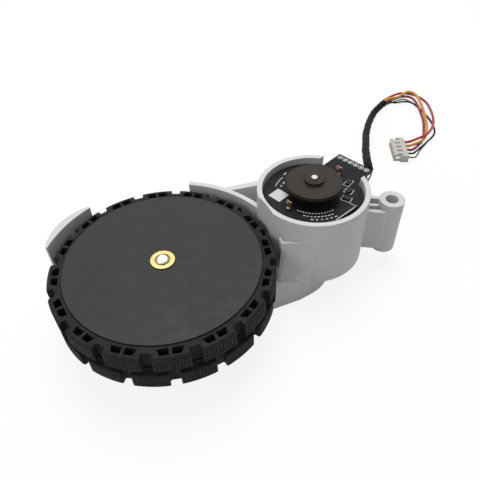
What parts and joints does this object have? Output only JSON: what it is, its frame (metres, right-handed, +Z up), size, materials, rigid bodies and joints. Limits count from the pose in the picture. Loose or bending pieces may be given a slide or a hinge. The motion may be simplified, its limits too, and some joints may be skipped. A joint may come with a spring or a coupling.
{
  "type": "robot vacuum drive wheel module",
  "caption": "Drive wheel module for a robot vacuum: treaded tyre on a geared light grey housing with a round motor cup, encoder board, pivot ear and short cable with a plug.",
  "frame": {"origin": "on the underside of the gearbox cover, on the wheel's axis", "axes": "+Z up along the wheel's axis out of the wheel's face, +X from the wheel towards the motor and pivot, +Y away from the viewer of the picture"},
  "size_m": [0.1761, 0.1676, 0.0382],
  "materials": {
    "light_plastic": "fine textured light grey ABS",
    "tyre_rubber": "black moulded rubber",
    "dark_plastic": "dark charcoal plastic with a faint sheen",
    "steel": "bright steel",
    "brass": "turned brass",
    "board_black": "black solder mask",
    "gear_plastic": "ivory acetal",
    "black_plastic": "black plastic",
    "magnet_brown": "dark brown moulded magnet",
    "ferrite": "grey ferrite",
    "copper": "enamelled copper wire",
    "solder": "tinned solder",
    "sleeve_black": "black taped sleeve",
    "wire_red": "insulation",
    "wire_orange": "insulation",
    "wire_crimson": "insulation",
    "wire_black": "insulation",
    "wire_grey": "insulation",
    "plug_ivory": "ivory nylon"
  },
  "bodies": {
    "base": {"housing": "light_plastic", "gearbox_cover": "light_plastic", "cover_screws": "steel", "axle_bush_top": "brass", "axle_bush_bottom": "brass", "gear_pin_1": "steel", "gear_pin_2": "steel", "motor_can": "steel", "motor_end_cap": "black_plastic", "field_magnets": "ferrite", "motor_screws": "steel", "encoder_board": "board_black", "motor_terminals": "solder", "board_parts": "black_plastic", "pad_solder": "solder", "pad_leads": "wire_crimson", "cable_sleeve": "sleeve_black", "wire_red": "wire_red", "wire_orange": "wire_orange", "wire_crimson": "wire_crimson", "wire_black": "wire_black", "wire_grey": "wire_grey", "plug_body": "plug_ivory", "plug_contacts": "solder"},
    "wheel": {"tyre": "tyre_rubber", "wheel_hub": "dark_plastic", "hub_face": "dark_plastic", "brass_insert": "brass", "axle": "steel", "output_gear": "gear_plastic"},
    "gear_2": {"compound_gear_2": "gear_plastic"},
    "gear_1": {"compound_gear_1": "gear_plastic"},
    "rotor": {"motor_shaft": "steel", "motor_pinion": "brass", "armature": "steel", "armature_coils": "copper", "encoder_magnet": "magnet_brown"}
  },
  "joints": [
    {"name": "wheel_spin", "type": "hinge", "parent": "base", "child": "wheel", "pos_m": [0, 0, 0], "axis": [0, 0, 1], "continuous": true},
    {"name": "gear_2_spin", "type": "hinge", "parent": "base", "child": "gear_2", "pos_m": [0.0199, 0.00938, 0], "axis": [0, 0, 1], "continuous": true},
    {"name": "gear_1_spin", "type": "hinge", "parent": "base", "child": "gear_1", "pos_m": [0.03597, 0.01314, 0], "axis": [0, 0, 1], "continuous": true},
    {"name": "rotor_spin", "type": "hinge", "parent": "base", "child": "rotor", "pos_m": [0.0509, 0.0186, 0], "axis": [0, 0, 1], "continuous": true}
  ],
  "couplings": [
    {"joint": "gear_2_spin", "follows": "wheel_spin", "ratio": -2.9286},
    {"joint": "gear_1_spin", "follows": "wheel_spin", "ratio": 8.5765},
    {"joint": "rotor_spin", "follows": "wheel_spin", "ratio": -29.303}
  ]
}
